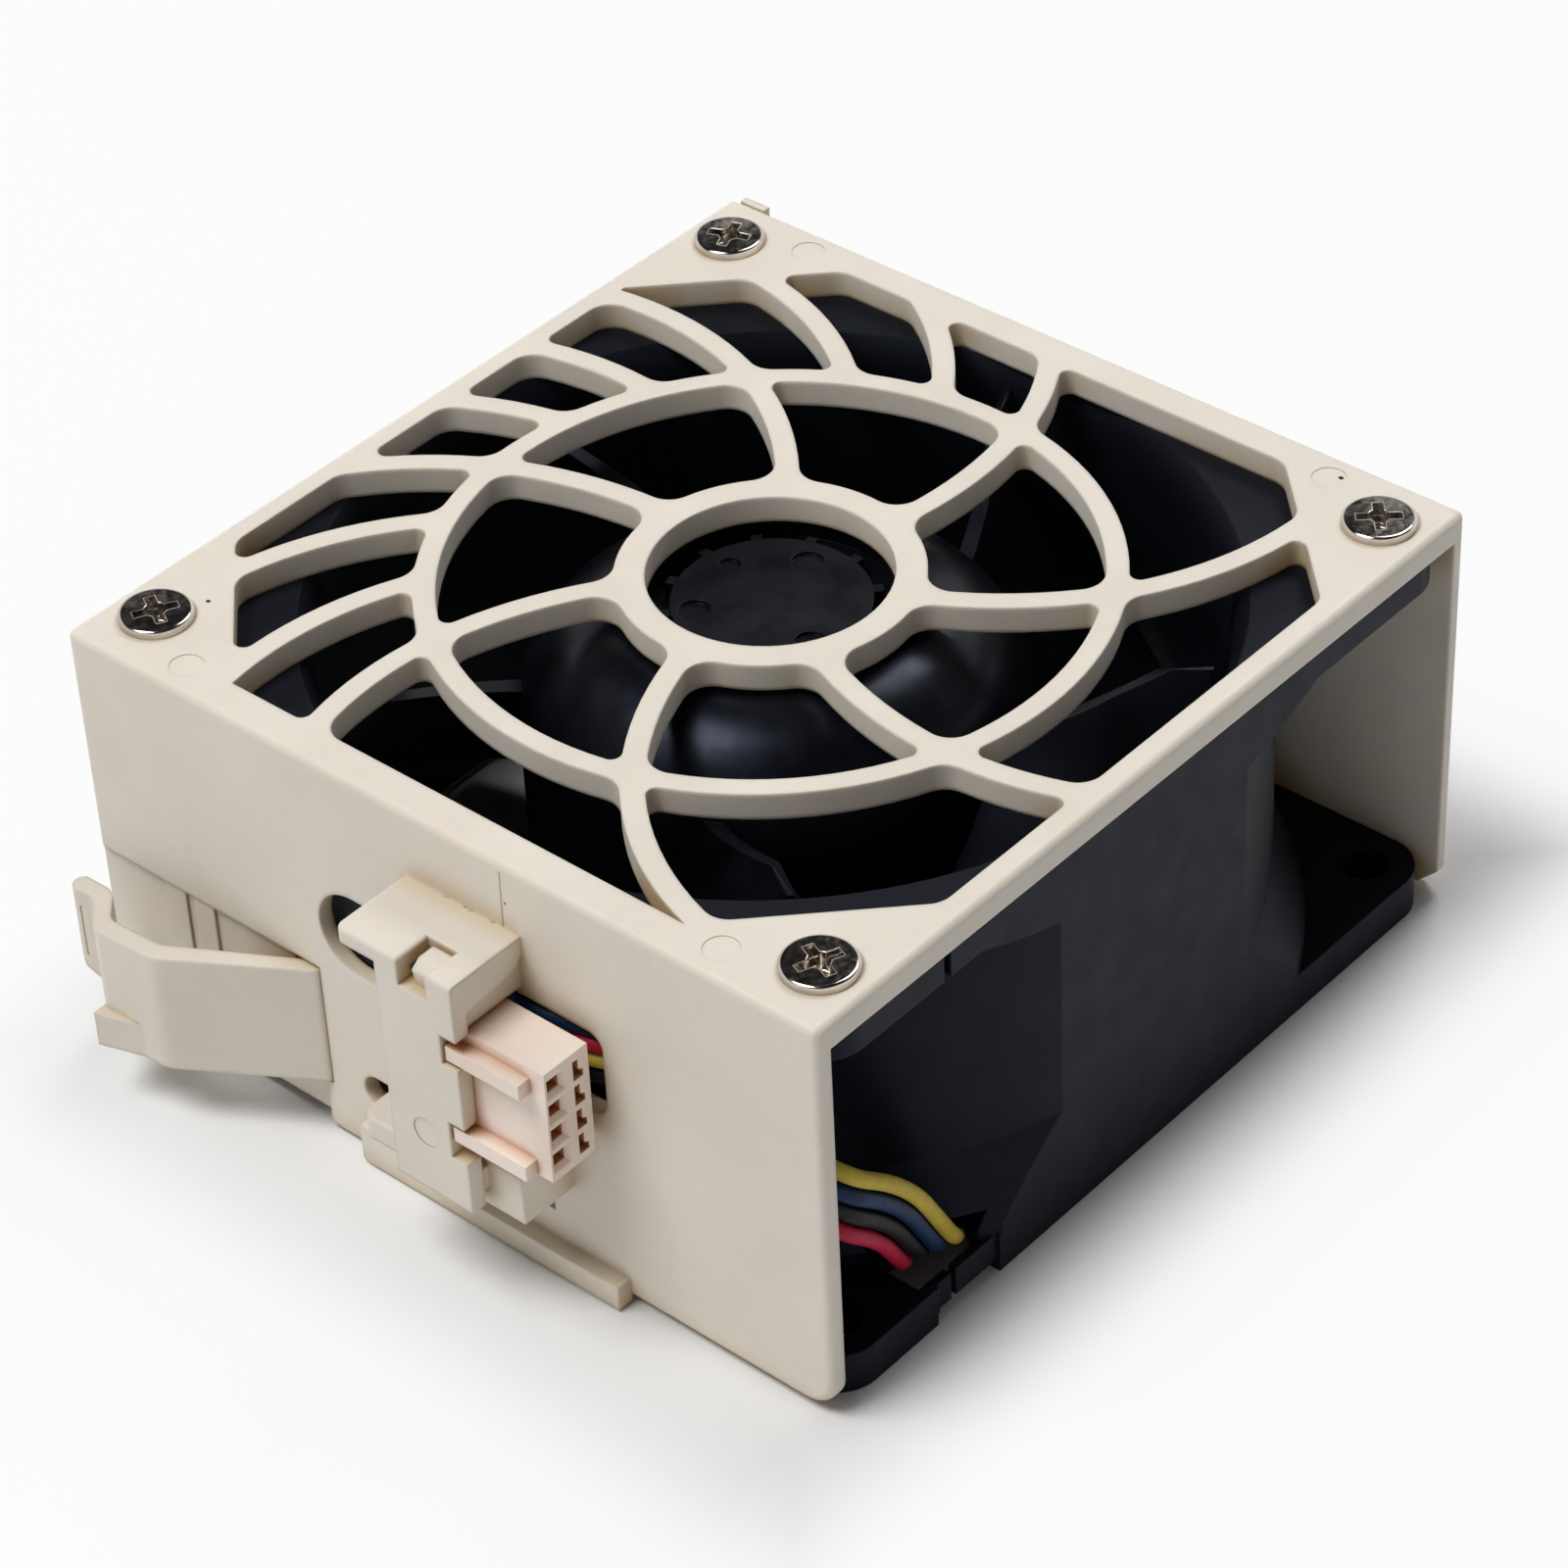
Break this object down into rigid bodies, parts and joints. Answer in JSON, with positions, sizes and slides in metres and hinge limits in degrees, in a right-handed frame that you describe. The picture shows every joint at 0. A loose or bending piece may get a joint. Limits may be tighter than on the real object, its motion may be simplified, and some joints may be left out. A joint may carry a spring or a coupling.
{
  "type": "server fan module",
  "caption": "Hot-swap axial fan module: square ducted fan with a swept rotor in a grille bracket with a spring latch, a snap-in connector and a wire harness.",
  "frame": {"origin": "fan axis at the exhaust flange face, the centre of the four exhaust screw holes", "axes": "+Z from the exhaust to the intake grille, +X the way the connector plugs in, -Y the latch and connector side"},
  "size_m": [0.0808, 0.0929, 0.0413],
  "materials": {
    "bracket_plastic": "fine moulded satin",
    "frame_plastic": "moulded, slightly textured",
    "impeller_plastic": "moulded, semi-gloss",
    "connector_plastic": "natural nylon",
    "insulator_plastic": "moulded",
    "screw_plating": "nickel plated",
    "bearing_steel": "ground",
    "lamination_steel": "stamped",
    "yoke_steel": "drawn, zinc plated",
    "ferrite": "moulded magnet",
    "turned_brass": "turned",
    "terminal_tin": "tin plated, stamped",
    "coil_wire": "enamelled copper",
    "board_laminate": "solder mask",
    "chip_resin": "moulded",
    "capacitor_can": "drawn",
    "wire_red": "PVC insulation",
    "wire_black": "PVC insulation",
    "wire_blue": "PVC insulation",
    "wire_yellow": "PVC insulation"
  },
  "bodies": {
    "module": {"fan_bracket": "bracket_plastic", "fan_frame": "frame_plastic", "connector_housing": "connector_plastic", "crimp_terminals": "terminal_tin", "wire_red": "wire_red", "wire_black": "wire_black", "wire_blue": "wire_blue", "wire_yellow": "wire_yellow", "fan_screws": "screw_plating", "bearing_tube": "turned_brass", "bearing_outer_rings": "bearing_steel", "bearing_balls": "bearing_steel", "stator_core": "lamination_steel", "lower_insulator": "insulator_plastic", "upper_insulator": "insulator_plastic", "stator_coils": "coil_wire", "circuit_board": "board_laminate", "driver_chip": "chip_resin", "hall_sensor": "chip_resin", "board_capacitors": "capacitor_can"},
    "rotor": {"impeller": "impeller_plastic", "rotor_yoke": "yoke_steel", "magnet_ring": "ferrite", "shaft_boss": "turned_brass", "rotor_shaft": "bearing_steel", "bearing_inner_rings": "bearing_steel", "retaining_ring": "bearing_steel", "spring_washer": "bearing_steel"},
    "latch": {"latch_arm": "bracket_plastic"}
  },
  "joints": [
    {"name": "rotor_spin", "type": "hinge", "parent": "module", "child": "rotor", "pos_m": [0, 0, 0.02], "axis": [0, 0, 1], "continuous": true},
    {"name": "latch_flex", "type": "hinge", "parent": "module", "child": "latch", "pos_m": [-0.0149, -0.04145, 0.01165], "axis": [0, 0, -1], "range_deg": [0, 8.5], "stiffness_Nm_per_rad": 0.12}
  ]
}
